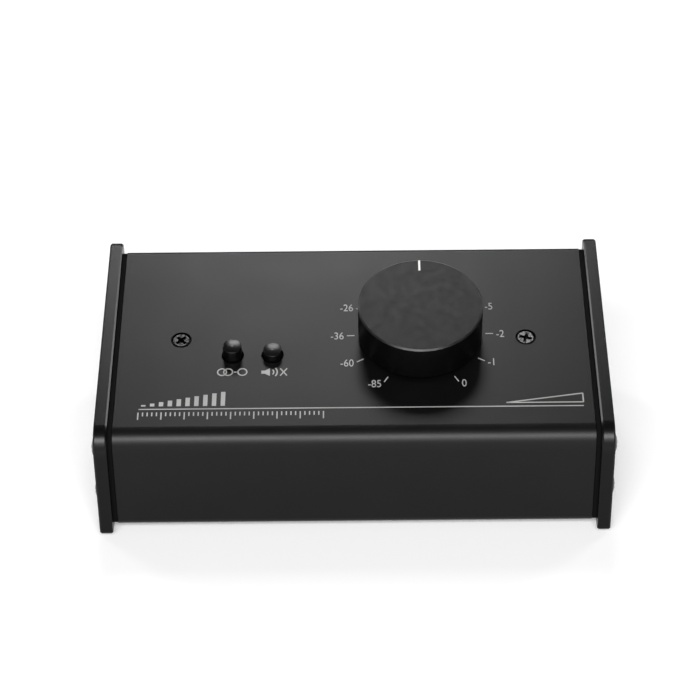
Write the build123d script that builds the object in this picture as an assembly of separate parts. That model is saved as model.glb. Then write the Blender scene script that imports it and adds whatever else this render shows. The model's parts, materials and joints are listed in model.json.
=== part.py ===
from build123d import *
from math import cos, radians, sin, tan
import os

# Desktop volume controller for studio loudspeakers: a sloped sheet-metal box between two side
# cheeks, with one large knob, two latching push-buttons and four jack sockets at the back.
# Frame: +X right, +Y to the back, +Z up, origin under the middle of the box at its lowest plane.
# All sizes are in millimetres.

# ---- cheeks ------------------------------------------------------------------------------
cheek_thickness = 4.1
cheek_depth = 85.5            # front face to back face
cheek_front_height = 36.2     # to the sharp corner, before rounding
panel_slope = 14.0            # degrees
cheek_front_radius = 8.6
cheek_back_radius = 3.4
cheek_bottom_radius = 1.2
cheek_edge_break = (0.5, 0.35)   # flats along the cheek's edges: across its rim, down its sides

# ---- box between the cheeks --------------------------------------------------------------
shell_length = 149.2
sheet = 2.0                   # wall of the bent shell
shell_front_inset = 2.7       # shell faces behind the cheek's outline
shell_top_inset = 2.0
shell_back_inset = 2.7
shell_bottom_inset = 1.4
shell_front_radius = 6.6
shell_back_radius = 2.4
shell_bottom_radius = 2.4
shell_edge_break = 0.25
lip_depth = 14.0              # turned-in edge at the bottom, from the outer face
cheek_gap = 1.3               # dark groove between shell and cheek
groove_depth = 0.25           # from the shell's outline down to the groove's floor

# ---- end frames --------------------------------------------------------------------------
frame_fit = 0.15              # gap to the shell's inner walls
frame_web = 3.0
frame_rim_wall = 3.0
frame_rim_depth = 5.0
boss_radius = 5.0
boss_depth = 8.0

# ---- base and feet -----------------------------------------------------------------------
base_thickness = 1.5
base_fit = 0.5
foot_radius = 5.0
foot_drop = 0.8               # feet reach this far below the cheeks
foot_end_inset = 7.5          # foot centre from the shell's end
foot_lip_gap = 1.55           # between a foot and the shell's lip
foot_edge_radius = 1.0

# ---- fasteners ---------------------------------------------------------------------------
thread_play = 0.02            # radial gap of a screw in its thread
hole_play = 0.15              # radial gap of a screw or sleeve in a plain hole
m4_radius = 2.0
m3_radius = 1.5
cheek_head_radius = 4.5
cheek_head_height = 2.1
cheek_screw_length = 14.0
cheek_screw_y = 13.0          # front pair behind the cheek's front face, back pair from its back
cheek_screw_low = 8.7         # above the cheek's lower edge
cheek_screw_front_high = 24.7
cheek_screw_back_high = 34.0
sink_head_radius = 2.5        # flat countersunk head
panel_screw_length = 6.5
panel_screw_drop = 0.1        # head's flat top below the panel
panel_screw_turn = (45.0, -18.0)   # degrees, left and right
well_radius = 3.3             # round well in the panel about each screw's head
well_depth = 0.8
pan_head_radius = 2.75
pan_head_height = 1.8
pan_screw_length = 4.5
head_edge = 0.26              # upright share of a round head's height, under its dome
round_head_reach = 0.58       # arm of the cross recess, as a share of the head's radius
flat_head_reach = 0.84
recess_width = 0.5            # shares of that arm
recess_depth = 0.5
recess_floor = 0.6
base_screw_length = 4.5
base_screw_end_inset = 18.5   # from the shell's end
base_screw_inset = 9.0        # from the shell's front or back face

# ---- knob and potentiometer, on the panel -------------------------------------------------
knob_x = 21.2
knob_up = 45.1                # up the slope from the panel's lower edge
knob_radius = 19.7
knob_top = 13.9               # above the panel
knob_gap = 1.0
knob_rim_break = (0.5, 0.4)   # flat around the top edge: inwards, downwards
knob_bottom_break = 0.4
knob_wall = 3.5
knob_crown = 2.4              # thickness of the knob's top
hub_radius = 6.5
hub_bottom = 4.8
pointer_width = 0.65
pointer_length = 4.9
pointer_depth = 0.6
grub_height = 8.0
grub_socket_radius = 0.75
shaft_radius = 3.0
shaft_play = 0.03
shaft_seat = 0.02             # radial gap of the shaft in the knob
shaft_end_gap = 0.3
bushing_radius = 3.5
bushing_top = 4.2
bushing_flange_radius = 5.25
washer_radius = 6.0
washer_thickness = 0.5
nut_across_flats = 10.0
nut_thickness = 2.0
pot_radius = 8.25
pot_depth = 15.0
pot_wall = 1.2
wiper_radius = 6.5
wiper_thickness = 1.5
gang_depths = (4.5, 11.6)     # of the two wiper discs below the panel's inner face
terminal_width = 1.0
terminal_thickness = 0.6
terminal_pitch = 3.0
terminal_reach = 2.6

# ---- control board and its standoffs ------------------------------------------------------
board_thickness = 1.6
standoff_length = 10.0
standoff_across_flats = 5.5
panel_screw_end_inset = 19.8  # from the shell's end
panel_screw_up = 43.5
control_board_end_gap = 14.5  # from the shell's end
control_board_low = 31.0      # lower and upper edges, up the slope
control_board_high = 56.0
pot_board_gap = 0.6
resistor_radius = 1.1
resistor_length = 6.0
resistor_pitch = 3.6
resistor_count = 6
resistor_lead = 0.3
resistor_lead_reach = 1.2
resistor_x = -14.0

# ---- push-buttons --------------------------------------------------------------------------
button_x = (-38.2, -25.6)
button_up = 36.7
button_latch = (0.0, 1.8)     # how far each one is latched down as the box stands
button_radius = 3.0
button_hole_radius = 3.57
button_shoulder = 4.4         # top of the straight side above the panel, released
button_dome_rise = 0.3        # of the faintly domed top
button_rim_radius = 0.25
button_bottom = -3.0
button_socket_radius = 1.6
button_socket_top = 1.5
plunger_fit = 0.05
plunger_top_gap = 0.5
switch_width = 8.5
switch_height = 6.0
switch_wall = 0.9
plunger_side = 3.0
plunger_hole_play = 0.12
flange_side = 5.0
flange_thickness = 0.8
flange_gap = 0.05
spring_radius = 1.4
spring_wire = 0.125
spring_turns = 4
spring_end_gap = 0.05
switch_pin_side = 0.6
switch_pin_reach = 0.8
switch_pin_pitch = 2.5

# ---- jacks and their board -----------------------------------------------------------------
jack_count = 4
jack_pitch = 30.0
jack_height = 18.5            # axis above the cheek's lower edge
jack_side = 14.0
jack_depth = 24.0
jack_bore_radius = 3.2
jack_bore_length = 28.0
jack_corner = 0.6
sleeve_radius = 4.5
sleeve_reach = 3.0            # beyond the shell's back face
jack_washer_radius = 6.5
jack_washer_thickness = 0.4
jack_nut_across_flats = 12.0
jack_nut_thickness = 1.8
jack_nut_crown = 0.4          # how far the nut's outer face is turned in at its corners
jack_pin_side = 0.9
jack_pin_reach = 1.2
jack_pins = 3
jack_pin_pitch = 6.0
jack_board_end_gap = 12.5     # from the shell's end
jack_board_depth = 34.0
jack_board_gap = 0.5
support_inset = 4.5           # front standoffs' axis from the board's front edge
support_pitch = 14.0          # between a front standoff and the one behind it
support_screw_reach = 2.0     # into each end of a standoff

# ---- flat jumper cable between the boards ----------------------------------------------------
cable_x = -4.0
cable_width = 10.0
cable_thickness = 0.9
cable_upper_y = 44.0          # behind the cheeks' front face
cable_lower_inset = 3.7       # behind the jack board's front edge
cable_tail = 3.0
cable_bow = 7.0
cable_radius = 2.6

# ---- worked-out places -----------------------------------------------------------------------
slope = radians(panel_slope)
overall_depth = max(cheek_depth, cheek_depth - shell_back_inset + sleeve_reach)
front_y = -overall_depth / 2
floor_z = foot_drop           # lower edge of the cheeks

shell_front_y = front_y + shell_front_inset
shell_back_y = front_y + cheek_depth - shell_back_inset
shell_bottom_z = floor_z + shell_bottom_inset
base_bottom_z = shell_bottom_z + sheet
base_top_z = base_bottom_z + base_thickness
cheek_inner_x = shell_length / 2 + cheek_gap
cheek_outer_x = cheek_inner_x + cheek_thickness

# The panel's own frame: x right, y up the slope, z out of the panel's outer face. Its y is zero
# at the foot of the cheek's sharp front corner.
panel_origin = (
    0,
    front_y + shell_top_inset * sin(slope),
    floor_z + cheek_front_height - shell_top_inset * cos(slope),
)
panel = Plane(origin=panel_origin, x_dir=(1, 0, 0), z_dir=(0, -sin(slope), cos(slope)))


def on_panel(x, up, out=0.0):
    """Plane parallel to the panel at a point given in the panel's frame."""
    origin = panel.from_local_coords((x, up, out))
    return Plane(origin=origin, x_dir=panel.x_dir, z_dir=panel.z_dir)


def post(radius, low, high):
    """Round post along Z between two heights."""
    return Pos(0, 0, low) * Cylinder(radius, high - low, align=(Align.CENTER, Align.CENTER, Align.MIN))


def block(x_size, y_size, low, high):
    """Rectangular block along Z between two heights."""
    return Pos(0, 0, low) * Box(
        x_size, y_size, high - low, align=(Align.CENTER, Align.CENTER, Align.MIN)
    )


def hexagon(across_flats, low, high):
    """Hexagonal prism along Z between two heights."""
    outline = RegularPolygon(across_flats / 2, 6, major_radius=False)
    return Pos(0, 0, low) * extrude(outline, high - low)


def cone(low_radius, high_radius, low, high):
    """Cone along Z between two heights."""
    return Pos(0, 0, low) * Cone(
        low_radius, high_radius, high - low, align=(Align.CENTER, Align.CENTER, Align.MIN)
    )


def side_outline(front, top, back, bottom, radii, drop=0.0):
    """Rounded outline in the Y-Z plane, inset from the cheek's sharp outline.

    radii go front bottom, front top, back top, back bottom. drop is a further inset on all sides.
    """
    low_y = front_y + front + drop
    high_y = front_y + cheek_depth - back - drop
    low_z = floor_z + bottom + drop
    rise = floor_z + cheek_front_height - (top + drop) / cos(slope)
    front_top = rise + (low_y - front_y) * tan(slope)
    back_top = rise + (high_y - front_y) * tan(slope)
    corners = [(low_y, low_z), (low_y, front_top), (high_y, back_top), (high_y, low_z)]
    path = FilletPolyline(*corners, radius=radii, close=True)
    return Plane.YZ * make_face(path)


def slab(outline, low_x, high_x):
    """Outline in the Y-Z plane made solid between two places along X."""
    return extrude(Pos(low_x, 0, 0) * outline, high_x - low_x, dir=(1, 0, 0))


def cross_recess(arm):
    """Cross-shaped driver recess that runs in from z = 0, narrower at its bottom."""
    width = arm * recess_width
    depth = arm * recess_depth
    arms = block(2 * arm, width, -depth, 0) + block(width, 2 * arm, -depth, 0)
    return arms & cone(arm * recess_floor, arm, -depth, 0)


def domed_post(radius, low, high, rise):
    """Round post along Z whose top is a spherical cap, high being the cap's middle."""
    ball_radius = (radius ** 2 + rise ** 2) / (2 * rise)
    return post(radius, low, high) & Pos(0, 0, high - ball_radius) * Sphere(ball_radius)


def sunk_screw(head_radius, shank_radius, length):
    """Countersunk screw, top face at z = 0, pointing down."""
    cone_depth = head_radius - shank_radius
    body = cone(shank_radius, head_radius, -cone_depth, 0) + post(shank_radius, -length, -cone_depth)
    return body - cross_recess(head_radius * flat_head_reach)


def pan_screw(head_radius, head_height, shank_radius, length):
    """Round-headed screw, head standing on z = 0, pointing down."""
    head = domed_post(head_radius, 0, head_height, head_height * (1 - head_edge))
    screw = head + post(shank_radius, -length, 0)
    return screw - Pos(0, 0, head_height) * cross_recess(head_radius * round_head_reach)


def upside_down(solid):
    """The same solid turned to point up instead of down."""
    return Rot(180, 0, 0) * solid


shell_radii = (shell_bottom_radius, shell_front_radius, shell_back_radius, shell_bottom_radius)
shell_insets = (shell_front_inset, shell_top_inset, shell_back_inset, shell_bottom_inset)


def shell_outline(drop=0.0, least_radius=0.3):
    """The shell's outline in the Y-Z plane, inset by drop with its corners following."""
    radii = [max(radius - drop, least_radius) for radius in shell_radii]
    return side_outline(*shell_insets, radii, drop)


cheek_screw_places = [
    (front_y + cheek_screw_y, floor_z + cheek_screw_low),
    (front_y + cheek_screw_y, floor_z + cheek_screw_front_high),
    (front_y + cheek_depth - cheek_screw_y, floor_z + cheek_screw_low),
    (front_y + cheek_depth - cheek_screw_y, floor_z + cheek_screw_back_high),
]
base_screw_places = [
    (x, y)
    for x in (base_screw_end_inset - shell_length / 2, shell_length / 2 - base_screw_end_inset)
    for y in (shell_front_y + base_screw_inset, shell_back_y - base_screw_inset)
]
panel_screw_x = (panel_screw_end_inset - shell_length / 2, shell_length / 2 - panel_screw_end_inset)
control_board_length = shell_length - 2 * control_board_end_gap
jack_board_length = shell_length - 2 * jack_board_end_gap
jack_x = [(i - (jack_count - 1) / 2) * jack_pitch for i in range(jack_count)]
jack_z = floor_z + jack_height
jack_board_top = jack_z - jack_side / 2
jack_board_bottom = jack_board_top - board_thickness
shell_inner_back_y = shell_back_y - sheet
jack_board_front_y = shell_inner_back_y - jack_board_gap - jack_board_depth
support_front_y = jack_board_front_y + support_inset
support_places = [                                # between the outer jacks of each side
    ((jack_x[i] + jack_x[i + 1]) / 2, y)
    for i in (0, jack_count - 2)
    for y in (support_front_y, support_front_y + support_pitch)
]
foot_x = shell_length / 2 - foot_end_inset
foot_front_y = shell_front_y + lip_depth + foot_lip_gap + foot_radius
foot_back_y = shell_back_y - lip_depth - foot_lip_gap - foot_radius
control_board_out = -sheet - standoff_length      # board's upper face in the panel's frame


# ---- the shell, cheeks and end frames ----------------------------------------------------------
def make_top_shell():
    outer = slab(shell_outline(), -shell_length / 2, shell_length / 2)
    ends = outer.faces().sort_by(Axis.X)
    outer = chamfer([*ends[0].edges(), *ends[-1].edges()], shell_edge_break)
    hollow = slab(shell_outline(sheet), -shell_length, shell_length)
    shell = outer - hollow
    mouth_depth = shell_back_y - shell_front_y - 2 * lip_depth
    mouth_y = (shell_front_y + shell_back_y) / 2
    shell -= Pos(0, mouth_y, 0) * block(2 * shell_length, mouth_depth, shell_bottom_z - 1, base_bottom_z + 1)
    bushing_hole = post(bushing_radius + hole_play, -2 * sheet, sheet)
    shell -= on_panel(knob_x, knob_up) * bushing_hole
    for x in button_x:
        shell -= on_panel(x, button_up) * post(button_hole_radius, -2 * sheet, sheet)
    seat_radius = sink_head_radius + panel_screw_drop - well_depth
    seat_depth = well_depth + seat_radius - m3_radius
    for x in panel_screw_x:
        seat = cone(m3_radius, seat_radius, -seat_depth, -well_depth)
        hole = seat + post(m3_radius + hole_play, -2 * sheet, 0) + post(well_radius, -well_depth, sheet)
        shell -= on_panel(x, panel_screw_up) * hole
    for x in jack_x:
        hole = Rot(-90, 0, 0) * post(sleeve_radius + hole_play, -2 * sheet, sheet)
        shell -= Pos(x, shell_back_y, jack_z) * hole
    for x, y in base_screw_places:
        sink = cone(sink_head_radius, m3_radius, 0, sink_head_radius - m3_radius)
        hole = sink + post(m3_radius + hole_play, 0, 2 * sheet) + post(sink_head_radius, -sheet, 0)
        shell -= Pos(x, y, shell_bottom_z) * hole
    return shell


def make_cheek(side):
    radii = (cheek_bottom_radius, cheek_front_radius, cheek_back_radius, cheek_bottom_radius)
    outline = side_outline(0, 0, 0, 0, radii)
    cheek = slab(outline, cheek_inner_x, cheek_outer_x)
    across, down = cheek_edge_break
    for end in (0, -1):
        face = cheek.faces().sort_by(Axis.X)[end]
        cheek = chamfer(face.edges(), down, across, reference=face)
    for y, z in cheek_screw_places:
        hole = Rot(0, 90, 0) * post(m4_radius + hole_play, -1, cheek_thickness + 1)
        cheek -= Pos(cheek_inner_x, y, z) * hole
    return cheek if side > 0 else mirror(cheek, Plane.YZ)


def make_end_frame(side):
    end_x = shell_length / 2
    floor = base_top_z + frame_fit
    outer_drop = sheet + frame_fit
    plug = slab(shell_outline(outer_drop), end_x - frame_web - frame_rim_depth, end_x)
    room_start = end_x - frame_web - 2 * frame_rim_depth
    room = slab(shell_outline(outer_drop + frame_rim_wall), room_start, end_x - frame_web)
    under = block(shell_length * 2, 2 * cheek_depth, shell_bottom_z, floor)
    room -= block(shell_length * 2, 2 * cheek_depth, shell_bottom_z, floor + frame_rim_wall)
    pad = slab(shell_outline(groove_depth), end_x, end_x + cheek_gap)
    bosses = []
    for y, z in cheek_screw_places:
        boss = post(boss_radius, -frame_web - boss_depth, -frame_web / 2)
        bosses.append(Pos(end_x, y, z) * Rot(0, 90, 0) * boss)
    inside = slab(shell_outline(outer_drop), end_x - frame_web - boss_depth, end_x)
    frame = (plug - room) + ((bosses[0] + bosses[1] + bosses[2] + bosses[3]) & inside)
    frame = frame - under + pad
    bore_end = cheek_gap + cheek_thickness - cheek_screw_length - 1
    bore = Rot(0, 90, 0) * post(m4_radius + thread_play, bore_end, cheek_gap + 1)
    for y, z in cheek_screw_places:
        frame -= Pos(end_x, y, z) * bore
    return frame if side > 0 else mirror(frame, Plane.YZ)


def make_cheek_screws(side):
    screws = []
    for y, z in cheek_screw_places:
        screw = pan_screw(cheek_head_radius, cheek_head_height, m4_radius, cheek_screw_length)
        screws.append(Pos(side * cheek_outer_x, y, z) * Rot(0, side * 90, 0) * screw)
    return screws


# ---- base, feet and their screws ---------------------------------------------------------------
def make_base_plate():
    depth = shell_inner_back_y - shell_front_y - sheet - 2 * base_fit
    middle_y = (shell_inner_back_y + shell_front_y + sheet) / 2
    base = Pos(0, middle_y, 0) * block(shell_length, depth, base_bottom_z, base_top_z)
    for x, y in base_screw_places:
        base -= Pos(x, y, 0) * post(m3_radius + thread_play, base_bottom_z - 1, base_top_z + 1)
    for x, y in support_places:
        base -= Pos(x, y, 0) * post(m3_radius + hole_play, base_bottom_z - 1, base_top_z + 1)
    return base


def make_base_screws():
    screw = upside_down(sunk_screw(sink_head_radius, m3_radius, base_screw_length))
    return [Pos(x, y, shell_bottom_z) * screw for x, y in base_screw_places]


def make_foot(x, y):
    foot = post(foot_radius, 0, base_bottom_z)
    foot = fillet(foot.faces().sort_by(Axis.Z)[0].edges(), foot_edge_radius)
    return Pos(x, y, 0) * foot


# ---- knob and potentiometer, in the knob's own frame ---------------------------------------------
knob_place = on_panel(knob_x, knob_up)


def pointer_block(side_play=0.0):
    """The bar that fills the pointer groove, from the rim inwards."""
    length = pointer_length + side_play
    bar = Box(pointer_width, length, pointer_depth, align=(Align.CENTER, Align.MAX, Align.MAX))
    return Pos(0, knob_radius + side_play, knob_top) * bar


def knob_blank():
    inwards, downwards = knob_rim_break
    shoulder = knob_top - downwards
    blank = post(knob_radius, knob_gap, shoulder)
    blank += cone(knob_radius, knob_radius - inwards, shoulder, knob_top)
    return chamfer(blank.faces().sort_by(Axis.Z)[0].edges(), knob_bottom_break)


def make_knob():
    knob = knob_blank()
    ceiling = knob_top - knob_crown
    knob -= post(knob_radius - knob_wall, 0, ceiling) - post(hub_radius, hub_bottom, ceiling)
    knob -= post(shaft_radius + shaft_seat, 0, ceiling)
    tunnel = Rot(-90, 0, 0) * post(m3_radius + thread_play, 0, knob_radius + 1)
    knob -= Pos(0, 0, grub_height) * tunnel
    return knob_place * (knob - pointer_block(1.0))


def make_knob_pointer():
    return knob_place * (pointer_block() & knob_blank())


def make_knob_grub_screw():
    length = hub_radius - shaft_radius
    grub = post(m3_radius, 0, length) - extrude(
        Pos(0, 0, length) * RegularPolygon(grub_socket_radius, 6), -length / 2
    )
    return knob_place * Pos(0, shaft_radius + thread_play, grub_height) * Rot(-90, 0, 0) * grub


def make_pot_shaft():
    top = knob_top - knob_crown - shaft_end_gap
    bottom = -sheet - pot_depth + pot_wall + shaft_end_gap
    shaft = post(shaft_radius, bottom, top)
    for depth in gang_depths:
        shaft += post(wiper_radius, -sheet - depth - wiper_thickness, -sheet - depth)
    return knob_place * shaft


def make_pot_bushing():
    flange_low = -sheet - pot_wall
    bushing = post(bushing_radius, -sheet, bushing_top) + post(bushing_flange_radius, flange_low, -sheet)
    return knob_place * (bushing - post(shaft_radius + shaft_play, flange_low - 1, bushing_top + 1))


def make_pot_housing():
    low = -sheet - pot_depth
    housing = post(pot_radius, low, -sheet)
    housing -= post(pot_radius - pot_wall, low + pot_wall, -sheet - 2 * pot_wall)
    housing -= post(bushing_flange_radius, -sheet - pot_wall, -sheet)
    return knob_place * (housing - post(shaft_radius + hole_play, -sheet - 3 * pot_wall, 0))


def make_pot_washer():
    washer = post(washer_radius, 0, washer_thickness)
    return knob_place * (washer - post(bushing_radius + hole_play, -1, 1))


def make_pot_nut():
    top = washer_thickness + nut_thickness
    nut = hexagon(nut_across_flats, washer_thickness, top)
    return knob_place * (nut - post(bushing_radius + thread_play, 0, top + 1))


def make_pot_terminals():
    """Bent tabs from the housing's side to the nearer face of the control board."""
    housing = post(pot_radius + thread_play, -sheet - pot_depth, -sheet)
    reach = pot_radius + terminal_reach
    arm = Box(terminal_width, reach, terminal_thickness, align=(Align.CENTER, Align.MAX, Align.CENTER))
    tabs = []
    for depth in gang_depths:
        out = -sheet - depth - wiper_thickness / 2
        face = control_board_out
        if out < face:
            face -= board_thickness
        leg = block(terminal_width, terminal_thickness, min(out, face), max(out, face))
        tab = Pos(0, 0, out) * arm + Pos(0, terminal_thickness / 2 - reach, 0) * leg
        for step in (-1, 0, 1):
            tabs.append(knob_place * (Pos(step * terminal_pitch, 0, 0) * tab - housing))
    return tabs


# ---- control board, standoffs and screws ---------------------------------------------------------
def make_panel_screws():
    screw = sunk_screw(sink_head_radius, m3_radius, panel_screw_length)
    return [
        on_panel(x, panel_screw_up, -panel_screw_drop) * Rot(0, 0, turn) * screw
        for x, turn in zip(panel_screw_x, panel_screw_turn)
    ]


def make_panel_standoffs():
    low = -sheet - standoff_length
    standoff = hexagon(standoff_across_flats, low, -sheet) - post(m3_radius + thread_play, low - 1, 0)
    return [on_panel(x, panel_screw_up) * standoff for x in panel_screw_x]


def make_standoff_screws():
    screw = upside_down(pan_screw(pan_head_radius, pan_head_height, m3_radius, pan_screw_length))
    low = control_board_out - board_thickness
    return [on_panel(x, panel_screw_up, low) * screw for x in panel_screw_x]


def make_control_board():
    middle = (control_board_low + control_board_high) / 2
    width = control_board_high - control_board_low
    low = control_board_out - board_thickness
    board = on_panel(0, middle) * block(control_board_length, width, low, control_board_out)
    board -= knob_place * post(pot_radius + pot_board_gap, low - 1, control_board_out + 1)
    for x in panel_screw_x:
        board -= on_panel(x, panel_screw_up) * post(m3_radius + hole_play, low - 1, control_board_out + 1)
    return board


def make_resistors():
    lift = resistor_radius + resistor_lead
    body = Rot(0, 90, 0) * Cylinder(resistor_radius, resistor_length)
    reach = resistor_length / 2 + resistor_lead_reach
    wire = Rot(0, 90, 0) * Cylinder(resistor_lead, 2 * reach)
    legs = post(resistor_lead, -lift, 0)
    resistor = body + wire + Pos(reach - resistor_lead, 0, 0) * legs + Pos(resistor_lead - reach, 0, 0) * legs
    first = (control_board_low + control_board_high) / 2 - resistor_pitch * (resistor_count - 1) / 2
    return [
        on_panel(resistor_x, first + i * resistor_pitch, control_board_out + lift) * resistor
        for i in range(resistor_count)
    ]


# ---- push-buttons, each in its own frame -----------------------------------------------------------
switch_top = control_board_out + switch_height
flange_top = switch_top - switch_wall - flange_gap
spring_floor = control_board_out + switch_wall


def make_button_cap(x, latch):
    top = button_shoulder + button_dome_rise
    cap = domed_post(button_radius, button_bottom, top, button_dome_rise)
    cap = fillet(cap.faces().sort_by(Axis.Z)[-1].edges(), button_rim_radius)
    cap -= post(button_socket_radius, button_bottom - 1, button_socket_top)
    return on_panel(x, button_up, -latch) * cap


def make_plunger(x, latch):
    peg = post(button_socket_radius - plunger_fit, button_bottom, button_socket_top - plunger_top_gap)
    stem = block(plunger_side, plunger_side, flange_top - flange_thickness, button_bottom)
    flange = block(flange_side, flange_side, flange_top - flange_thickness, flange_top)
    return on_panel(x, button_up, -latch) * (peg + stem + flange)


def make_switch_body(x):
    body = block(switch_width, switch_width, control_board_out, switch_top)
    room = switch_width - 2 * switch_wall
    body -= block(room, room, spring_floor, switch_top - switch_wall)
    opening = plunger_side + 2 * plunger_hole_play
    body -= block(opening, opening, spring_floor, switch_top + 1)
    return on_panel(x, button_up) * body


def make_switch_spring(x, latch):
    room = flange_top - flange_thickness - latch - spring_floor - 2 * (spring_end_gap + spring_wire)
    path = Helix(room / spring_turns, room, spring_radius)
    section = Plane(origin=path @ 0, z_dir=path % 0) * Circle(spring_wire)
    spring = sweep(section, path=path, is_frenet=True)
    return on_panel(x, button_up, spring_floor + spring_end_gap + spring_wire) * spring


def make_switch_pins():
    pins = []
    low = control_board_out - board_thickness - switch_pin_reach
    for x in button_x:
        for column in (-1, 1):
            for row in (-1, 0, 1):
                pin = block(switch_pin_side, switch_pin_side, low, control_board_out - board_thickness)
                offset = (x + column * switch_pin_pitch, button_up + row * switch_pin_pitch)
                pins.append(on_panel(*offset) * pin)
    return pins


# ---- jacks and their board ----------------------------------------------------------------------------
def make_jack(x):
    """Socket whose own z runs out of the back of the box, from the shell's inner back wall."""
    body = block(jack_side, jack_side, -jack_depth, 0)
    body = chamfer(body.edges().filter_by(Axis.Z), jack_corner)
    body += post(sleeve_radius, 0, sheet + sleeve_reach)
    mouth = sheet + sleeve_reach
    body -= post(jack_bore_radius, mouth - jack_bore_length, mouth + 1)
    return Pos(x, shell_inner_back_y, jack_z) * Rot(-90, 0, 0) * body


def make_jack_washers():
    washer = post(jack_washer_radius, 0, jack_washer_thickness) - post(sleeve_radius + hole_play, -1, 1)
    return [Pos(x, shell_back_y, jack_z) * Rot(-90, 0, 0) * washer for x in jack_x]


def make_jack_nuts():
    top = jack_washer_thickness + jack_nut_thickness
    nut = hexagon(jack_nut_across_flats, jack_washer_thickness, top)
    crown_radius = jack_nut_across_flats / 2 + jack_nut_crown
    nut = nut & cone(crown_radius + 2 * top, crown_radius, 0, top)
    nut -= post(sleeve_radius + thread_play, 0, top + 1)
    return [Pos(x, shell_back_y, jack_z) * Rot(-90, 0, 0) * nut for x in jack_x]


def make_jack_pins():
    pins = []
    middle_y = shell_inner_back_y - jack_depth / 2
    for x in jack_x:
        for i in range(jack_pins):
            y = middle_y + (i - (jack_pins - 1) / 2) * jack_pin_pitch
            pin = block(jack_pin_side, jack_pin_side, jack_board_bottom - jack_pin_reach, jack_board_bottom)
            pins.append(Pos(x, y, 0) * pin)
    return pins


def make_jack_board():
    middle_y = jack_board_front_y + jack_board_depth / 2
    board = block(jack_board_length, jack_board_depth, jack_board_bottom, jack_board_top)
    board = Pos(0, middle_y, 0) * board
    for x, y in support_places:
        board -= Pos(x, y, 0) * post(m3_radius + hole_play, jack_board_bottom - 1, jack_board_top + 1)
    return board


def make_board_supports():
    support = hexagon(standoff_across_flats, base_top_z, jack_board_bottom)
    support -= post(m3_radius + thread_play, 0, jack_board_top)
    return [Pos(x, y, 0) * support for x, y in support_places]


def make_support_screws():
    length = base_thickness + support_screw_reach
    screw = upside_down(pan_screw(pan_head_radius, pan_head_height, m3_radius, length))
    return [Pos(x, y, base_bottom_z) * screw for x, y in support_places]


def make_board_screws():
    length = board_thickness + support_screw_reach
    screw = pan_screw(pan_head_radius, pan_head_height, m3_radius, length)
    return [Pos(x, y, jack_board_top) * screw for x, y in support_places]


def make_jumper_cable():
    """Flat cable from the control board's lower face, in one bow, to the jack board's upper face."""
    upper_y = front_y + cable_upper_y
    lower_y = jack_board_front_y + cable_lower_inset
    top_z = board_lower_z(upper_y - cable_thickness / 2)
    bow_y = min(upper_y, lower_y) - cable_bow
    points = [
        (upper_y, top_z),
        (upper_y, top_z - cable_tail),
        (bow_y, (top_z + jack_board_top) / 2 - cable_tail / 2),
        (lower_y, jack_board_top + cable_tail),
        (lower_y, jack_board_top),
    ]
    path = Plane.YZ * FilletPolyline(*points, radius=cable_radius)
    start = Plane(origin=path @ 0, x_dir=(1, 0, 0), z_dir=path % 0)
    cable = sweep(start * Rectangle(cable_width, cable_thickness), path=path)
    return Pos(cable_x, 0, 0) * cable


def board_lower_z(y):
    """Height of the control board's lower face at a place along Y."""
    depth = shell_top_inset + sheet + standoff_length + board_thickness
    return floor_z + cheek_front_height - depth / cos(slope) + (y - front_y) * tan(slope)


# ---- every node ------------------------------------------------------------------------------------------
nodes = {
    "top_shell": make_top_shell(),
    "base_plate": make_base_plate(),
    "base_screws": make_base_screws(),
    "panel_screws": make_panel_screws(),
    "panel_standoffs": make_panel_standoffs(),
    "standoff_screws": make_standoff_screws(),
    "control_board": make_control_board(),
    "control_resistors": make_resistors(),
    "knob": make_knob(),
    "knob_pointer": make_knob_pointer(),
    "knob_grub_screw": make_knob_grub_screw(),
    "pot_shaft": make_pot_shaft(),
    "pot_bushing": make_pot_bushing(),
    "pot_housing": make_pot_housing(),
    "pot_washer": make_pot_washer(),
    "pot_nut": make_pot_nut(),
    "pot_terminals": make_pot_terminals(),
    "switch_pins": make_switch_pins(),
    "jack_washers": make_jack_washers(),
    "jack_nuts": make_jack_nuts(),
    "jack_pins": make_jack_pins(),
    "jack_board": make_jack_board(),
    "board_supports": make_board_supports(),
    "support_screws": make_support_screws(),
    "board_screws": make_board_screws(),
    "jumper_cable": make_jumper_cable(),
}
for name, side in (("left", -1), ("right", 1)):
    nodes[name + "_cheek"] = make_cheek(side)
    nodes[name + "_end_frame"] = make_end_frame(side)
    nodes[name + "_cheek_screws"] = make_cheek_screws(side)
    for end, y in (("front", foot_front_y), ("back", foot_back_y)):
        nodes[name + "_" + end + "_foot"] = make_foot(side * foot_x, y)
for name, x, latch in zip(("left", "right"), button_x, button_latch):
    nodes[name + "_button_cap"] = make_button_cap(x, latch)
    nodes[name + "_switch_plunger"] = make_plunger(x, latch)
    nodes[name + "_switch_body"] = make_switch_body(x)
    nodes[name + "_switch_spring"] = make_switch_spring(x, latch)
for i, x in enumerate(jack_x):
    nodes["jack_" + str(i + 1)] = make_jack(x)

os.makedirs("parts", exist_ok=True)
for name, made in nodes.items():
    solids = made if isinstance(made, list) else [made]
    shape = Compound(children=[solid for piece in solids for solid in piece.solids()])
    export_step(shape, "parts/" + name + ".step")
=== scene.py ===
import json
import math

import bmesh
import bpy
from mathutils import Matrix, Vector


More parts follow.
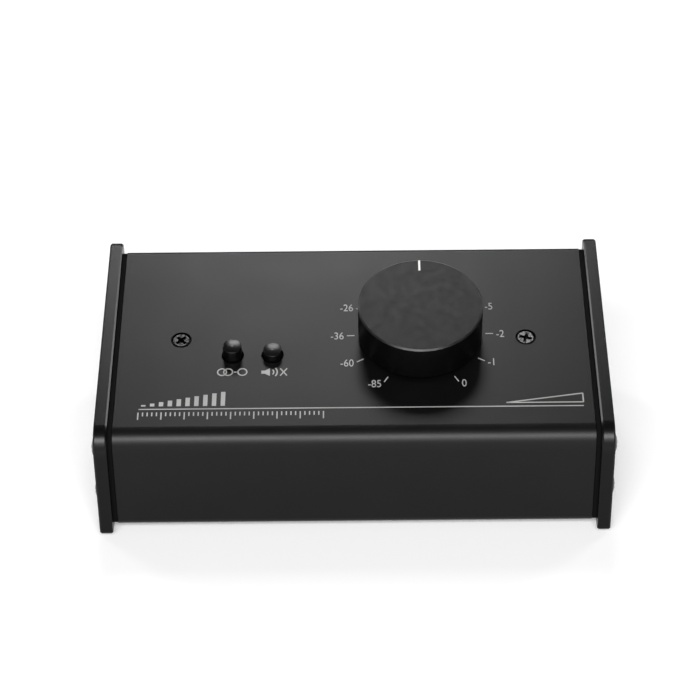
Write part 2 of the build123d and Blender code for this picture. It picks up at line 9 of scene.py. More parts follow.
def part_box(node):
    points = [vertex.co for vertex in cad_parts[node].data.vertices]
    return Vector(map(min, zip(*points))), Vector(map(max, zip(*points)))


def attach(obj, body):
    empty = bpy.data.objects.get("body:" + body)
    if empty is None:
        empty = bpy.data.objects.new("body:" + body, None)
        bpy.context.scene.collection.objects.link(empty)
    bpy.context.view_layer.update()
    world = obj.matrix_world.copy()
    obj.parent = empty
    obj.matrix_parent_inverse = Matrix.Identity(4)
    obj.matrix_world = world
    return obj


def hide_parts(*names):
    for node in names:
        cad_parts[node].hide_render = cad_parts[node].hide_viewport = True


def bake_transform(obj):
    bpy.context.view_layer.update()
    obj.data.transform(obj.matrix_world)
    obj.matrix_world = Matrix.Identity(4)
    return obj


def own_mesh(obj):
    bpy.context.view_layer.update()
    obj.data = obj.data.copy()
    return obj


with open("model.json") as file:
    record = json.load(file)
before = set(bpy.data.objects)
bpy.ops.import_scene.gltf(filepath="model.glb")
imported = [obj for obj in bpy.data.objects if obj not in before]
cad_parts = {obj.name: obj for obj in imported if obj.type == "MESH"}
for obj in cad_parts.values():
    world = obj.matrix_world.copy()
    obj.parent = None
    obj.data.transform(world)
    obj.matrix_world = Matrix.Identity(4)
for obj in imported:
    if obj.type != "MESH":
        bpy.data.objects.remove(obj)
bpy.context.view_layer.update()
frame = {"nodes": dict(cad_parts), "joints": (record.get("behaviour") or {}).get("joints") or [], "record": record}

MM = 0.001
scene = bpy.context.scene
scene.view_settings.view_transform = "Standard"

# ---- places taken from the frame ---------------------------------------------------------
joints = {joint["name"]: joint for joint in frame["joints"]}
knob_centre = Vector(joints["knob_turn"]["pos_m"])
panel_normal = Vector(joints["knob_turn"]["axis"])
panel_right = Vector((1, 0, 0))
panel_up = panel_normal.cross(panel_right)


def on_panel(x, up, out=0.0):
    """Point given in mm from the knob's axis on the panel: right, up the slope and out of it."""
    return knob_centre + MM * (x * panel_right + up * panel_up + out * panel_normal)


# ---- camera --------------------------------------------------------------------------------
CAMERA_PLACE = Vector((2.59, -604.3, 445.8)) * MM
CAMERA_FORWARD = Vector((-0.00513, 0.83084, -0.55649))
CAMERA_UP = Vector((0.00919, 0.55651, 0.83079))
CAMERA_LENS = 117.1           # mm, as is the sensor
SENSOR = 36.0
CLIP = (0.01, 20.0)           # metres


def make_camera():
    data = bpy.data.cameras.new("camera")
    data.lens = CAMERA_LENS
    data.sensor_width = SENSOR
    data.clip_start, data.clip_end = CLIP
    camera = bpy.data.objects.new("camera", data)
    scene.collection.objects.link(camera)
    forward = CAMERA_FORWARD.normalized()
    right = forward.cross(CAMERA_UP).normalized()
    up = right.cross(forward)
    turn = Matrix((right, up, -forward)).transposed().to_4x4()
    camera.matrix_world = Matrix.Translation(CAMERA_PLACE) @ turn
    scene.camera = camera


# ---- shader nodes --------------------------------------------------------------------------
def feed(tree, socket, value):
    """Links a socket to another one, or gives it a plain value."""
    if isinstance(value, bpy.types.NodeSocket):
        tree.links.new(value, socket)
    else:
        socket.default_value = value


def number_math(tree, operation, *values):
    """Result of a Math node."""
    node = tree.nodes.new("ShaderNodeMath")
    node.operation = operation
    for socket, value in zip(node.inputs, values):
        feed(tree, socket, value)
    return node.outputs["Value"]


def vector_math(tree, operation, output, *values):
    """One output of a Vector Math node: Vector or Value."""
    node = tree.nodes.new("ShaderNodeVectorMath")
    node.operation = operation
    for socket, value in zip(node.inputs, values):
        feed(tree, socket, value)
    return node.outputs[output]


def shade_range(tree, source, span, values, course="SMOOTHSTEP"):
    """Change of a value between two places of another one."""
    fade = tree.nodes.new("ShaderNodeMapRange")
    fade.interpolation_type = course
    fade.inputs["From Min"].default_value, fade.inputs["From Max"].default_value = span
    fade.inputs["To Min"].default_value, fade.inputs["To Max"].default_value = values
    tree.links.new(source, fade.inputs["Value"])
    return fade.outputs["Result"]


def place_socket(tree, kind="Object"):
    return tree.nodes.new("ShaderNodeTexCoord").outputs[kind]


def split_place(tree, place):
    """Parts of a place along X, Y and Z."""
    split = tree.nodes.new("ShaderNodeSeparateXYZ")
    tree.links.new(place, split.inputs["Vector"])
    return split.outputs


def emptied_tree(owner):
    """Node tree of a new world or material, with nothing in it."""
    owner.use_nodes = True
    owner.node_tree.nodes.clear()
    return owner.node_tree


# ---- light ---------------------------------------------------------------------------------
LIGHT_TARGET = Vector((0, 0, 0.035))
LIGHT_DISTANCE = 1.6

# name: azimuth (0 in front, 90 at the right), elevation, width and height in degrees, radiance
SOFTBOXES = {
    "front_strip": (-5, 44.2, 46, 15.5, 10.3),
    "front_fill": (0, 37.9, 36, 34, 2.2),
    "top_softbox": (182.3, 52.3, 16, 16.1, 11.0),
    "left_rim_box": (-131, 30, 12, 10, 12.0),
    "right_rim_box": (131, 30, 12, 10, 12.0),
}
WORLD_TOP = 0.076             # strength overhead
WORLD_SIDE = 1.0              # strength at the horizon
WORLD_FADE = (0.15, 0.45)     # sine of the elevation where it fades
WORLD_BACK = 0.15             # share of the horizon's extra strength left behind the object
WORLD_TURN = (-0.1, 0.5)      # part of the direction along Y over which it falls to that share


def make_softbox(name, azimuth, elevation, width, height, radiance):
    """Rectangular soft light seen from the object under the given angles, in degrees."""
    turn, tilt = math.radians(azimuth), math.radians(elevation)
    away = Vector((math.sin(turn) * math.cos(tilt), -math.cos(turn) * math.cos(tilt), math.sin(tilt)))
    data = bpy.data.lights.new(name, "AREA")
    data.shape = "RECTANGLE"
    data.size = 2 * LIGHT_DISTANCE * math.tan(math.radians(width) / 2)
    data.size_y = 2 * LIGHT_DISTANCE * math.tan(math.radians(height) / 2)
    data.energy = math.pi * data.size * data.size_y * radiance
    light = bpy.data.objects.new(name, data)
    scene.collection.objects.link(light)
    light.location = LIGHT_TARGET + LIGHT_DISTANCE * away
    light.rotation_euler = (-away).to_track_quat("-Z", "Y").to_euler()
    light.visible_camera = False


def make_world():
    """Studio surround: dim overhead and behind, brighter towards the horizon in front."""
    world = bpy.data.worlds.new("studio")
    scene.world = world
    tree = emptied_tree(world)
    output = tree.nodes.new("ShaderNodeOutputWorld")
    background = tree.nodes.new("ShaderNodeBackground")
    background.inputs["Color"].default_value = (1, 1, 1, 1)
    parts = split_place(tree, place_socket(tree, "Generated"))
    low = shade_range(tree, parts["Z"], WORLD_FADE, (WORLD_SIDE - WORLD_TOP, 0))
    front = shade_range(tree, parts["Y"], WORLD_TURN, (1, WORLD_BACK))
    strength = number_math(tree, "MULTIPLY_ADD", low, front, WORLD_TOP)
    tree.links.new(strength, background.inputs["Strength"])
    tree.links.new(background.outputs["Background"], output.inputs["Surface"])


# ---- floor ---------------------------------------------------------------------------------
FLOOR_HALF = 6.0
FLOOR_ALBEDO = 0.8
FLOOR_LIFT = 0.28             # light added for the camera and for reflections


def floor_material():
    material = bpy.data.materials.new("floor")
    tree = emptied_tree(material)
    output = tree.nodes.new("ShaderNodeOutputMaterial")
    diffuse = tree.nodes.new("ShaderNodeBsdfDiffuse")
    diffuse.inputs["Color"].default_value = (FLOOR_ALBEDO, FLOOR_ALBEDO, FLOOR_ALBEDO, 1)
    lift = tree.nodes.new("ShaderNodeEmission")
    add = tree.nodes.new("ShaderNodeAddShader")
    path = tree.nodes.new("ShaderNodeLightPath").outputs
    seen = number_math(tree, "MAXIMUM", path["Is Camera Ray"], path["Is Glossy Ray"])
    seen = number_math(tree, "MAXIMUM", seen, path["Is Transmission Ray"])
    tree.links.new(number_math(tree, "MULTIPLY", seen, FLOOR_LIFT), lift.inputs["Strength"])
    tree.links.new(diffuse.outputs["BSDF"], add.inputs[0])
    tree.links.new(lift.outputs["Emission"], add.inputs[1])
    tree.links.new(add.outputs["Shader"], output.inputs["Surface"])
    return material


def make_floor():
    """Pale floor that keeps the shadow; the camera and reflections see it lifted to near white."""
    corners = [(x * FLOOR_HALF, y * FLOOR_HALF, 0) for x, y in ((-1, -1), (1, -1), (1, 1), (-1, 1))]
    mesh = bpy.data.meshes.new("floor")
    mesh.from_pydata(corners, [], [(0, 1, 2, 3)])
    mesh.materials.append(floor_material())
    floor = bpy.data.objects.new("floor", mesh)
    scene.collection.objects.link(floor)


# ---- materials -----------------------------------------------------------------------------
NOISE_SPAN = (0.3, 0.7)       # part of the noise's range over which colour and gloss change
SLOW_DETAIL = 3.0
FINE_DETAIL = 2.0
GRAIN_SIZE = 0.25             # mm, as is the depth
GRAIN_DEPTH = 0.02

PAINT = (0.002, 0.002, 0.0021)
ANODISED = (0.0015, 0.0015, 0.0016)
PLATING = (0.2, 0.2, 0.205)

# how far a surface faces out of the panel, and its gloss there
COAT_GLOSS = ((0.25, 0.39), (0.6, 0.5))
CHEEK_GLOSS = ((0.25, 0.32), (0.6, 0.5))
# the same for the knob: side, rim, top
KNOB_GLOSS = ((0.1, 0.2), (0.5, 0.25), (0.7, 1.0), (0.86, 1.0), (0.95, 0.46))

# panel screws and the wells about them, in mm
SCREW_TOP = -0.1              # flat tops of the heads, out from the panel
SCREW_UP = -1.6               # the screws' axes, up the slope from the knob's
SCREW_HEAD_RADIUS = 2.5
SCREW_SHADE = (0.1, 0.45)     # depth in the recess over which painted shade turns the head black
WELL_EDGE = (3.32, 3.42)      # from the screw's axis, where the well ends
WELL_SHADE = (0.02, 0.12)     # depth over which the well loses its gloss
WELL_GLOSS = (1.0, 0.1)       # share of the gloss left on the panel and down in the well
HEAD_SIDE_SHADE = (0.4, 1.0)     # brightness of the left and of the right head, the left one dimmed by painted shade
PATCH_SIZE = 0.55
PATCH_SPAN = (0.38, 0.62)     # part of the noise's range between dark and bright patches
PATCH_DARK = (0.02, 0.02, 0.0205)
PATCH_BRIGHT = (0.2, 0.2, 0.204)
# painted shade down in the screws' recesses
RECESS_PAINTED_SHADE = (0.004, 0.004, 0.004)

METAL = {"metallic": 1.0, "grain": 0.05}

# slot: colour, roughness and what else differs from grainy()'s own values
FINISHES = {
    "base_steel": ((0.012, 0.012, 0.0125), 0.4, {}),
    "moulded_black": ((0.004, 0.004, 0.004), 0.9, {"ior": 1.2}),
    "black_screw": ((0.03, 0.03, 0.031), 0.35, {"grain": 0.05}),
    "zinc_screw": ((0.55, 0.55, 0.56), 0.3, METAL),
    "brass_standoff": ((0.72, 0.58, 0.30), 0.3, METAL),
    "circuit_board": ((0.04, 0.16, 0.08), 0.35, {}),
    "resistor_body": ((0.30, 0.45, 0.55), 0.4, {}),
    "white_mark": ((0.80, 0.80, 0.79), 0.5, {"grain": 0.05, "mottle": 0.03}),
    "turned_steel": ((0.62, 0.62, 0.63), 0.28, METAL),
    "brass_bushing": ((0.70, 0.57, 0.32), 0.3, METAL),
    "pot_case": ((0.06, 0.06, 0.065), 0.5, {}),
    "tinned_pin": ((0.70, 0.70, 0.70), 0.3, METAL),
    "nickel_nut": ((0.60, 0.60, 0.61), 0.18, {"metallic": 1.0, "grain": 0.03}),
    "cable_grey": ((0.35, 0.35, 0.36), 0.5, {}),
    "button_black": ((0.002, 0.002, 0.002), 0.22, {"grain": 0.03, "ior": 1.345}),
    "switch_plastic": ((0.75, 0.75, 0.72), 0.5, {}),
    "switch_case": ((0.05, 0.05, 0.055), 0.5, {}),
    "spring_steel": ((0.66, 0.66, 0.66), 0.25, {"metallic": 1.0, "grain": 0.03}),
    "foot_rubber": ((0.02, 0.02, 0.02), 0.85, {"ior": 1.35, "grain": 0.3}),
    "jack_plastic": ((0.02, 0.02, 0.021), 0.45, {}),
    "print_white": ((0.36, 0.36, 0.355), 0.55, {"grain": 0.05, "mottle": 0.12}),
}


def shader_inputs(material):
    return material.node_tree.nodes["Principled BSDF"].inputs


def new_material(name, colour, roughness, metallic, ior):
    """Principled material with its uniform values on the shader's own sockets."""
    material = bpy.data.materials.new(name)
    material.use_nodes = True
    inputs = shader_inputs(material)
    inputs["Base Color"].default_value = (*colour, 1)
    inputs["Roughness"].default_value = roughness
    inputs["Metallic"].default_value = metallic
    inputs["IOR"].default_value = ior
    return material


def add_noise(tree, size_mm, detail):
    """Noise in object space whose features are about size_mm across."""
    noise = tree.nodes.new("ShaderNodeTexNoise")
    noise.inputs["Scale"].default_value = 1 / (size_mm * MM)
    noise.inputs["Detail"].default_value = detail
    tree.links.new(place_socket(tree), noise.inputs["Vector"])
    return noise.outputs["Fac"]


def ramp_of(tree, factor, stops):
    """Several colours, each reached at a place of the factor."""
    ramp = tree.nodes.new("ShaderNodeValToRGB")
    elements = ramp.color_ramp.elements
    while len(elements) < len(stops):
        elements.new(0.5)
    for element, (place, colour) in zip(elements, stops):
        element.position = place
        element.color = (*colour, 1)
    tree.links.new(factor, ramp.inputs["Fac"])
    return ramp.outputs["Color"]


def stepped(tree, factor, stops):
    """Several values, each reached at a place of the factor."""
    return ramp_of(tree, factor, [(place, (value, value, value)) for place, value in stops])


def add_bump(material, factor, strength):
    tree = material.node_tree
    bump = tree.nodes.new("ShaderNodeBump")
    bump.inputs["Strength"].default_value = strength
    bump.inputs["Distance"].default_value = GRAIN_DEPTH * MM
    tree.links.new(factor, bump.inputs["Height"])
    tree.links.new(bump.outputs["Normal"], shader_inputs(material)["Normal"])


def tinted(colour, share):
    return tuple(channel * share for channel in colour)


def grainy(
    name, colour, roughness, metallic=0.0, ior=1.45, grain=0.15, spread=0.12, mottle=0.15, slow_mm=14.0
):
    """Surface with fine grain in its bump; its gloss and, where it has mottle, its colour change slowly."""
    material = new_material(name, colour, roughness, metallic, ior)
    tree = material.node_tree
    inputs = shader_inputs(material)
    slow = add_noise(tree, slow_mm, SLOW_DETAIL)
    if mottle:
        tints = (tinted(colour, 1 - mottle), tinted(colour, 1 + mottle))
        tree.links.new(ramp_of(tree, slow, list(zip(NOISE_SPAN, tints))), inputs["Base Color"])
    limits = (roughness * (1 - spread), roughness * (1 + spread))
    tree.links.new(shade_range(tree, slow, NOISE_SPAN, limits, "LINEAR"), inputs["Roughness"])
    add_bump(material, add_noise(tree, GRAIN_SIZE, FINE_DETAIL), grain)
    return material


def depth_below(tree, point):
    """Depth of the shaded place below a plane that is parallel to the panel, in mm."""
    offset = vector_math(tree, "SUBTRACT", "Vector", point, place_socket(tree))
    return vector_math(tree, "DOT_PRODUCT", "Value", offset, panel_normal / MM)


def off_axis(tree, point):
    """Distance of the shaded place from a line through a point along the panel's normal, in mm."""
    offset = vector_math(tree, "SUBTRACT", "Vector", place_socket(tree), point)
    across = vector_math(tree, "CROSS_PRODUCT", "Vector", offset, panel_normal / MM)
    return vector_math(tree, "LENGTH", "Value", across)


def gloss_by_facing(tree, stops):
    """Gloss by how far the surface faces out of the panel."""
    normal = tree.nodes.new("ShaderNodeNewGeometry").outputs["Normal"]
    return stepped(tree, vector_math(tree, "DOT_PRODUCT", "Value", normal, panel_normal), stops)


def set_gloss(material, source):
    material.node_tree.links.new(source, shader_inputs(material)["Specular IOR Level"])


def screw_places():
    """Middle of each panel screw's flat top, left then right; its place along X is from the node's box."""
    low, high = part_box("panel_screws")
    reach = SCREW_HEAD_RADIUS * MM
    return [
        on_panel((x - knob_centre.x) / MM, SCREW_UP, SCREW_TOP)
        for x in (low[0] + reach, high[0] - reach)
    ]


def painted_shell(name):
    """Satin black coat, duller on upright faces and down in the wells about the panel screws."""
    material = grainy(name, PAINT, 0.355, grain=0.04, spread=0.04, ior=1.347)
    tree = material.node_tree
    nearest = number_math(tree, "MINIMUM", *(off_axis(tree, point) for point in screw_places()))
    inside = shade_range(tree, nearest, WELL_EDGE, (1, 0))
    below = shade_range(tree, depth_below(tree, on_panel(0, 0)), WELL_SHADE, (0, 1))
    in_well = number_math(tree, "MULTIPLY", inside, below)
    left = shade_range(tree, in_well, (0, 1), WELL_GLOSS)
    set_gloss(material, number_math(tree, "MULTIPLY", gloss_by_facing(tree, COAT_GLOSS), left))
    return material


def painted_cheek(name):
    """Smoother black coat of the cheeks, duller on upright faces."""
    material = grainy(name, PAINT, 0.262, grain=0.04, spread=0.05, ior=1.335)
    set_gloss(material, gloss_by_facing(material.node_tree, CHEEK_GLOSS))
    return material


def anodised_knob(name):
    """Black anodised knob: fine blasted top, duller side."""
    material = grainy(name, ANODISED, 0.4, grain=0.12, ior=1.33, slow_mm=2.5, spread=0.1)
    set_gloss(material, gloss_by_facing(material.node_tree, KNOB_GLOSS))
    return material


def shaded_by_side(tree, plating):
    """Plating dimmed by painted shade, from the left screw's share of brightness to the right one's."""
    left, right = (point.x for point in screw_places())
    place = split_place(tree, place_socket(tree))
    scale = tree.nodes.new("ShaderNodeVectorMath")
    scale.operation = "SCALE"
    tree.links.new(plating, scale.inputs[0])
    tree.links.new(shade_range(tree, place["X"], (left, right), HEAD_SIDE_SHADE), scale.inputs["Scale"])
    return scale.outputs["Vector"]


def plated_head(name):
    """Dull plated screw heads, patchy; painted shade dims the left one and turns them black down in the recess."""
    material = grainy(name, PLATING, 0.32, metallic=1.0, grain=0.1, mottle=0)
    tree = material.node_tree
    patches = add_noise(tree, PATCH_SIZE, FINE_DETAIL)
    plating = ramp_of(tree, patches, list(zip(PATCH_SPAN, (PATCH_DARK, PATCH_BRIGHT))))
    # painted shade: the heads turn black with depth below their flat tops
    recess_shade = tree.nodes.new("ShaderNodeMix")
    recess_shade.data_type = "RGBA"
    recess_shade.inputs["B"].default_value = (*RECESS_PAINTED_SHADE, 1)
    depth = depth_below(tree, on_panel(0, 0, SCREW_TOP))
    tree.links.new(shade_range(tree, depth, SCREW_SHADE, (0, 1)), recess_shade.inputs["Factor"])
    tree.links.new(shaded_by_side(tree, plating), recess_shade.inputs["A"])
    tree.links.new(recess_shade.outputs["Result"], shader_inputs(material)["Base Color"])
    return material


def make_materials():
    made = {
        "black_paint": painted_shell("black_paint"),
        "cheek_paint": painted_cheek("cheek_paint"),
        "plated_screw": plated_head("plated_screw"),
        "knob_black": anodised_knob("knob_black"),
    }
    for slot, (colour, roughness, more) in FINISHES.items():
        made[slot] = grainy(slot, colour, roughness, **more)
    return made


def dress_cad_nodes(materials):
    """Every carried-over CAD node gets the procedural material of its slot."""
    slots = {sub["node"]: sub["material_slot"] for sub in frame["record"]["subparts"]}
    for name, node in frame["nodes"].items():
        node.data.materials.clear()
        node.data.materials.append(materials[slots[name]])


# ---- ink on the panel; places and sizes in mm, places from the knob's axis --------------------
INK_OUT = 0.03                # outer face of the ink, out of the panel
INK_IN = -0.02                # its inner face


def add_print(name, mesh, material):
    piece = bpy.data.objects.new(name, mesh)
    scene.collection.objects.link(piece)
    mesh.materials.append(material)
    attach(piece, "box")


def flat_print(name, outlines, material):
    """Thin ink from closed outlines."""
    shape = bmesh.new()
    for outline in outlines:
        low = [shape.verts.new(on_panel(x, up, INK_IN)) for x, up in outline]
        high = [shape.verts.new(on_panel(x, up, INK_OUT)) for x, up in outline]
        shape.faces.new(high)
        shape.faces.new(list(reversed(low)))
        for i in range(len(outline)):
            j = (i + 1) % len(outline)
            shape.faces.new((low[i], low[j], high[j], high[i]))
    bmesh.ops.recalc_face_normals(shape, faces=shape.faces)
    mesh = bpy.data.meshes.new(name)
    shape.to_mesh(mesh)
    shape.free()
    add_print(name, mesh, material)


def bar(x, up, length, width, angle=0.0):
    """Outline of a straight bar about its middle; angle is clockwise from up the slope."""
    along = Vector((math.sin(angle), math.cos(angle))) * length / 2
    across = Vector((along.y, -along.x)).normalized() * width / 2
    middle = Vector((x, up))
    return [tuple(middle + a * along + b * across) for a, b in ((-1, -1), (-1, 1), (1, 1), (1, -1))]


# ---- dial ------------------------------------------------------------------------------------
TICK_INNER = 20.85
TICK_OUTER = 23.3
TICK_WIDTH = 0.36
FONT_DIGIT_HEIGHT = 0.70      # of Blender's own font at size 1
DIGIT_HEIGHT = 3.0
DIGIT_NARROW = 0.77           # width as a share of the font's
LABEL_GAP = 1.0
LABEL_RING = 24.0             # the heights of the numbers at the sides lie on this circle
DIAL_TOP = 30                 # degrees from the top within which a number stands above its tick
DIAL = (                      # angle from up the slope, clockwise, and the number there
    (-150, "-85"), (-120, "-60"), (-91, "-36"), (-60.5, "-26"), (-30, "-19"), (0, "-13"),
    (30, "-8"), (60, "-5"), (90, "-2"), (120, "-1"), (150, "0"),
)


def text_mesh(name, text):
    """Flat mesh of a text in Blender's own font."""
    curve = bpy.data.curves.new(name, "FONT")
    curve.body = text
    holder = bpy.data.objects.new(name + "_text", curve)
    scene.collection.objects.link(holder)
    bpy.context.view_layer.update()
    mesh = bpy.data.meshes.new_from_object(holder.evaluated_get(bpy.context.evaluated_depsgraph_get()))
    bpy.data.objects.remove(holder)
    mesh.name = name
    return mesh


def thicken(mesh):
    """Gives a flat mesh on the ink's outer face the ink's thickness."""
    shape = bmesh.new()
    shape.from_mesh(mesh)
    made = bmesh.ops.extrude_face_region(shape, geom=shape.faces[:])
    lowered = [g for g in made["geom"] if isinstance(g, bmesh.types.BMVert)]
    bmesh.ops.translate(shape, verts=lowered, vec=panel_normal * (INK_IN - INK_OUT) * MM)
    bmesh.ops.recalc_face_normals(shape, faces=shape.faces)
    shape.to_mesh(mesh)
    shape.free()


def dial_number(name, text, anchor, side, material):
    """Number as thin ink. side is -1, 0 or 1: which way it grows from its anchor."""
    mesh = text_mesh(name, text)
    xs = [v.co.x for v in mesh.vertices]
    left, right = min(xs), max(xs)
    scale = DIGIT_HEIGHT / FONT_DIGIT_HEIGHT
    width = (right - left) * scale * DIGIT_NARROW
    shift_x = anchor[0] + side * width / 2
    for v in mesh.vertices:
        x = (v.co.x - (left + right) / 2) * scale * DIGIT_NARROW + shift_x
        up = (v.co.y - FONT_DIGIT_HEIGHT / 2) * scale + anchor[1]
        v.co = on_panel(x, up, INK_OUT)
    thicken(mesh)
    add_print(name, mesh, material)


def number_place(degrees):
    """Anchor of the number at an angle of the dial, and the side to which it grows."""
    angle = math.radians(degrees)
    if abs(degrees) <= DIAL_TOP:
        reach = TICK_OUTER + LABEL_GAP + DIGIT_HEIGHT / 2
        return (reach * math.sin(angle), reach * math.cos(angle)), 0
    side = math.copysign(1, degrees)
    return (TICK_OUTER * math.sin(angle) + side * LABEL_GAP, LABEL_RING * math.cos(angle)), side


def make_dial(material):
    ticks = []
    middle = (TICK_INNER + TICK_OUTER) / 2
    for place, (degrees, label) in enumerate(DIAL):
        angle = math.radians(degrees)
        x, up = middle * math.sin(angle), middle * math.cos(angle)
        ticks.append(bar(x, up, TICK_OUTER - TICK_INNER, TICK_WIDTH, angle))
        anchor, side = number_place(degrees)
        dial_number("dial_number_%d" % place, label, anchor, side, material)
    flat_print("dial_ticks", ticks, material)


# ---- line and plain signs; angles are clockwise from up the slope -----------------------------
ACROSS = math.pi / 2          # angle of a bar that lies across the panel

LINE_UP = -30.6
LINE_LEFT = -66.7             # from the object's middle, as is the right end
LINE_RIGHT = 71.2
LINE_WIDTH = 0.38

SIGN_HEIGHT = 3.2
SIGN_STROKE = 0.42
ARC_PIECES = 32

RINGS_PLACE = (-59.35, -15.45)
RINGS_AT = (-3.2, -1.3, 3.2)  # from the sign's middle, two linked and one by itself
RINGS_DASH = (0.95, 0.9)      # middle and length of the dash between them

SPEAKER_PLACE = (-46.6, -15.6)
SPEAKER_AT = (-3.6, -2.5, -0.9)  # back, throat and mouth, from the sign's middle
SPEAKER_NECK = 5              # the sign's height over half the neck's
WAVE_RADII = (1.5, 2.6)
WAVE_BACK = 0.3               # their middle, behind the mouth
WAVE_ANGLES = (50, 130)
WAVE_PIECES = 8
CROSS_AT = 3.4
CROSS_LENGTH = 1.15           # share of the sign's height
CROSS_TILT = 35

STEPS_PLACE = (-74.2, -29.4)  # middle of the lower edge
STEPS_LENGTH = 27.4
STEPS_HEIGHT = 5.7
STEPS_COUNT = 10
STEPS_FILL = 0.5              # width of a bar as a share of their pitch

RULER_LEFT = -88.0
RULER_TOP = -31.9
RULER_PITCH = 1.435
RULER_COUNT = 41
RULER_EVERY = 5               # strokes from one long one to the next
RULER_SHORT = 1.5
RULER_LONG = 2.9
RULER_STROKE = 0.4

WEDGE_PLACE = (38.05, -27.3)
WEDGE_LENGTH = 23.9
WEDGE_HEIGHT = 3.6


def make_line(material):
    """The long thin line near the panel's front edge."""
    middle = (LINE_LEFT + LINE_RIGHT) / 2 - knob_centre.x / MM
    outline = bar(middle, LINE_UP, LINE_RIGHT - LINE_LEFT, LINE_WIDTH, ACROSS)
    flat_print("panel_line", [outline], material)


def arc(x, up, radius, start=0.0, end=360.0, pieces=ARC_PIECES):
    """Curved stroke as a run of short outlines; angles in degrees."""
    inner, outer = radius - SIGN_STROKE / 2, radius + SIGN_STROKE / 2
    outlines = []
    for i in range(pieces):
        turns = [math.radians(start + (end - start) * (i + step) / pieces) for step in (0, 1)]
        corners = ((inner, turns[0]), (outer, turns[0]), (outer, turns[1]), (inner, turns[1]))
        outline = [(x + reach * math.sin(turn), up + reach * math.cos(turn)) for reach, turn in corners]
        outlines.append(outline)
    return outlines


def make_rings(material):
    """Two linked rings, a dash and a single ring: both channels joined into one."""
    x, up = RINGS_PLACE
    radius = (SIGN_HEIGHT - SIGN_STROKE) / 2
    outlines = [outline for shift in RINGS_AT for outline in arc(x + shift, up, radius)]
    dash_middle, dash_length = RINGS_DASH
    outlines.append(bar(x + dash_middle, up, dash_length, SIGN_STROKE, ACROSS))
    flat_print("mono_sign", outlines, material)


def make_crossed_speaker(material):
    """Loudspeaker with two waves and a cross beside them."""
    x, up = SPEAKER_PLACE
    half, neck = SIGN_HEIGHT / 2, SIGN_HEIGHT / SPEAKER_NECK
    back, throat, mouth = (x + shift for shift in SPEAKER_AT)
    speaker = [(back, up - neck), (throat, up - neck), (mouth, up - half)]
    speaker += [(mouth, up + half), (throat, up + neck), (back, up + neck)]
    outlines = [speaker]
    for radius in WAVE_RADII:
        outlines += arc(mouth - WAVE_BACK, up, radius, *WAVE_ANGLES, WAVE_PIECES)
    for tilt in (CROSS_TILT, -CROSS_TILT):
        length = SIGN_HEIGHT * CROSS_LENGTH
        outlines.append(bar(x + CROSS_AT, up, length, SIGN_STROKE, math.radians(tilt)))
    flat_print("mute_sign", outlines, material)


def make_rising_steps(material):
    """Row of bars that rise to the right, above the line."""
    pitch = STEPS_LENGTH / STEPS_COUNT
    outlines = []
    for i in range(STEPS_COUNT):
        height = STEPS_HEIGHT * (i + 1) / STEPS_COUNT
        x = STEPS_PLACE[0] + (i - (STEPS_COUNT - 1) / 2) * pitch
        outlines.append(bar(x, STEPS_PLACE[1] + height / 2, height, pitch * STEPS_FILL))
    flat_print("rising_steps", outlines, material)


def make_ruler(material):
    """Fine scale below the line, with longer strokes between the short ones."""
    outlines = []
    for i in range(RULER_COUNT):
        length = RULER_LONG if i % RULER_EVERY == 0 else RULER_SHORT
        outlines.append(bar(RULER_LEFT + i * RULER_PITCH, RULER_TOP - length / 2, length, RULER_STROKE))
    flat_print("fine_scale", outlines, material)


def make_wedge(material):
    """Open wedge that widens to the right, the usual sign for a level."""
    x, up = WEDGE_PLACE
    tilt = math.atan2(WEDGE_LENGTH, WEDGE_HEIGHT)
    outlines = [
        bar(x, up - WEDGE_HEIGHT / 2, WEDGE_LENGTH, SIGN_STROKE, ACROSS),
        bar(x, up, math.hypot(WEDGE_LENGTH, WEDGE_HEIGHT), SIGN_STROKE, tilt),
        bar(x + WEDGE_LENGTH / 2, up, WEDGE_HEIGHT, SIGN_STROKE),
    ]
    flat_print("level_wedge", outlines, material)


# ---- return springs inside the switches, each wound up to a fixed top, in mm ------------------
SPRING_UP = -8.4              # buttons' axes, up the slope from the knob's
SPRING_FOOT = -11.05          # lower end, out of the panel
SPRING_TOPS = {"left": -7.8, "right": -9.6}
SPRING_RADIUS = 1.4
SPRING_WIRE = 0.125           # radius of the wire
SPRING_TURNS = 4
SPRING_STEPS = 24             # along each turn
SPRING_SIDES = 8              # around the wire


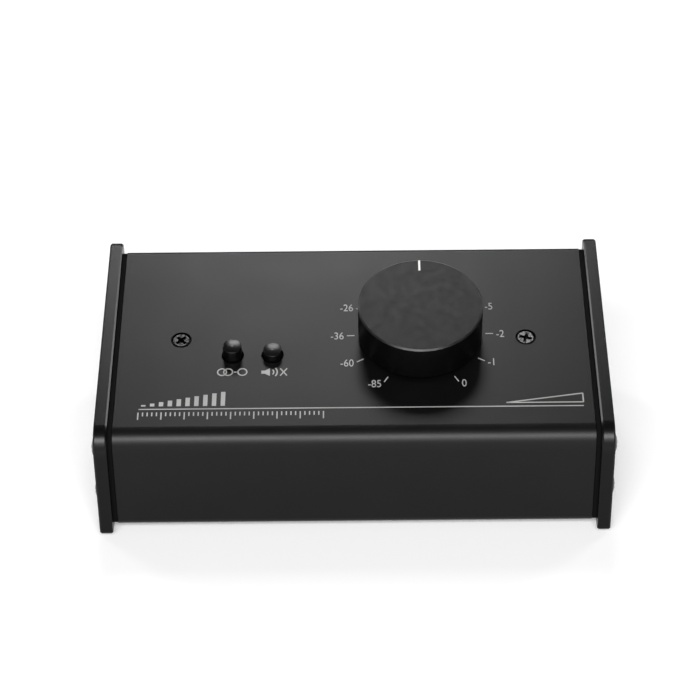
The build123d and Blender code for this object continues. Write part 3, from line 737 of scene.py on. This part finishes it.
def wire_ring(turn, height, slant):
    """Corners of the wire's outline at one place of the spring, about the spring's axis."""
    outward = Vector((math.cos(turn), math.sin(turn), 0))
    along = Vector((-SPRING_RADIUS * outward.y, SPRING_RADIUS * outward.x, slant)).normalized()
    across = along.cross(outward)
    middle = SPRING_RADIUS * outward + Vector((0, 0, height))
    rolls = [math.tau * side / SPRING_SIDES for side in range(SPRING_SIDES)]
    return [middle + SPRING_WIRE * (math.cos(roll) * outward + math.sin(roll) * across) for roll in rolls]


def wire_faces(count):
    """Faces between count + 1 rings of corners, and one at each end, all facing outwards."""
    top = count * SPRING_SIDES
    faces = [tuple(reversed(range(SPRING_SIDES))), tuple(range(top, top + SPRING_SIDES))]
    for low in range(0, top, SPRING_SIDES):
        high = low + SPRING_SIDES
        for side in range(SPRING_SIDES):
            after = (side + 1) % SPRING_SIDES
            faces.append((low + side, low + after, high + after, high + side))
    return faces


def spring_mesh(name, x, top):
    """Wire wound about a button's axis between its foot and its top."""
    count = SPRING_TURNS * SPRING_STEPS
    first, last = SPRING_FOOT + SPRING_WIRE, top - SPRING_WIRE
    slant = (last - first) / (math.tau * SPRING_TURNS)
    points = []
    for i in range(count + 1):
        height = first + (last - first) * i / count
        ring = wire_ring(math.tau * i / SPRING_STEPS, height, slant)
        points += [on_panel(x + place.x, SPRING_UP + place.y, place.z) for place in ring]
    mesh = bpy.data.meshes.new(name)
    mesh.from_pydata(points, [], wire_faces(count))
    return mesh


def make_spring(side, material):
    """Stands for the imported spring, which can't change its length."""
    node = side + "_switch_spring"
    low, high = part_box(node)
    x = ((low[0] + high[0]) / 2 - knob_centre.x) / MM
    mesh = spring_mesh(side + "_return_spring", x, SPRING_TOPS[side])
    mesh.materials.append(material)
    spring = bpy.data.objects.new(mesh.name, mesh)
    scene.collection.objects.link(spring)
    if side == "left":
        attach(spring, "box")
        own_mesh(spring)
    else:
        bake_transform(spring)
    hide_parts(node)


# ---- the whole scene -----------------------------------------------------------------------
make_camera()
make_world()
make_floor()
for box_name, box_values in SOFTBOXES.items():
    make_softbox(box_name, *box_values)
materials = make_materials()
dress_cad_nodes(materials)
prints = (make_dial, make_line, make_rings, make_crossed_speaker, make_rising_steps, make_ruler, make_wedge)
for make_print in prints:
    make_print(materials["print_white"])
for spring_side in SPRING_TOPS:
    make_spring(spring_side, materials["spring_steel"])
